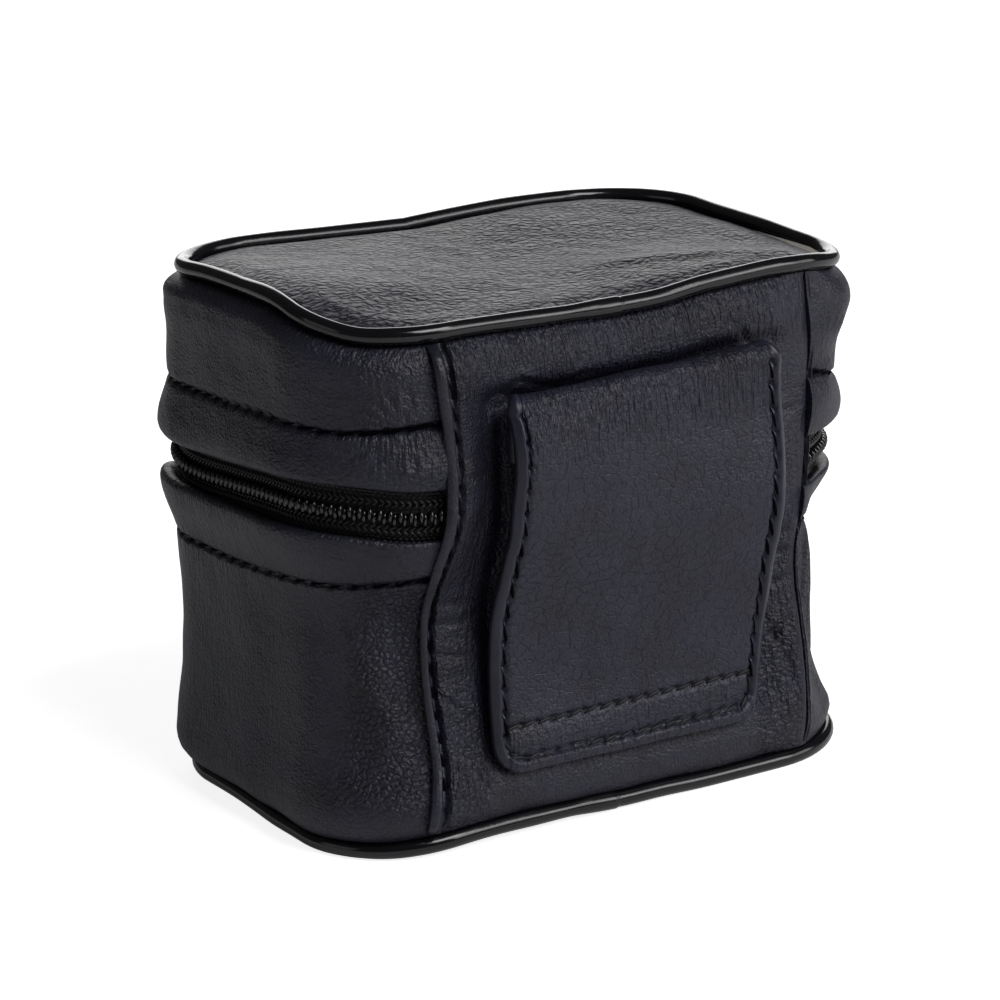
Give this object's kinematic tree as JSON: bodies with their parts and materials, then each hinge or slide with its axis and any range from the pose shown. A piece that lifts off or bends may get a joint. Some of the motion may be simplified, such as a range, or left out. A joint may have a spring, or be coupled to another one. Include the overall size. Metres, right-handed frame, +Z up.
{
  "type": "zipped leather case",
  "caption": "Small soft leather case with piped edges, a zip round three sides, a fold-back lid and a wide belt loop on its plain back.",
  "frame": {"origin": "middle of the underside of the bottom panel, between the two long sides", "axes": "+X along the long sides, -Y out of the back with the belt loop, +Z up"},
  "size_m": [0.104, 0.0844, 0.0829],
  "materials": {
    "leather": "black pebble-grained leather with a low sheen",
    "piping_vinyl": "smooth black vinyl over a cord",
    "board": "grey stiffener board",
    "lining_cloth": "plain black lining cloth",
    "zip_tape": "black woven polyester tape",
    "zip_coil": "black nylon coil",
    "slider_metal": "black enamelled die-cast slider"
  },
  "bodies": {
    "base": {"bottom_panel": "leather", "bottom_piping": "piping_vinyl", "bottom_board": "board", "bottom_lining": "lining_cloth", "lower_band": "leather", "lower_band_lining": "lining_cloth", "back_panel_lower": "leather", "back_lining_lower": "lining_cloth", "lower_zip_tape": "zip_tape", "lower_zip_coil": "zip_coil", "belt_loop": "leather"},
    "lid": {"top_panel": "leather", "top_piping": "piping_vinyl", "top_board": "board", "top_lining": "lining_cloth", "upper_band": "leather", "upper_band_lining": "lining_cloth", "back_panel_upper": "leather", "back_lining_upper": "lining_cloth", "upper_zip_tape": "zip_tape", "upper_zip_coil": "zip_coil"},
    "slider_left": {"left_slider": "slider_metal"},
    "slider_right": {"right_slider": "slider_metal"},
    "pull_left": {"left_pull": "leather"},
    "pull_right": {"right_pull": "leather"}
  },
  "joints": [
    {"name": "lid_hinge", "type": "hinge", "parent": "base", "child": "lid", "pos_m": [0, -0.03495, 0.0518], "axis": [1, 0, 0], "range_deg": [0, 100], "deforming": ["belt_loop"]},
    {"name": "left_zip_slide", "type": "slide", "parent": "base", "child": "slider_left", "axis": [-1, 0, 0], "range_m": [0, 0.016]},
    {"name": "right_zip_slide", "type": "slide", "parent": "base", "child": "slider_right", "axis": [1, 0, 0], "range_m": [0, 0.016]},
    {"name": "left_pull_hinge", "type": "hinge", "parent": "slider_left", "child": "pull_left", "pos_m": [-0.00526, 0.03925, 0.0518], "axis": [1, 0, 0], "range_deg": [0, 160]},
    {"name": "right_pull_hinge", "type": "hinge", "parent": "slider_right", "child": "pull_right", "pos_m": [0.00874, 0.03925, 0.0518], "axis": [1, 0, 0], "range_deg": [0, 160]}
  ]
}
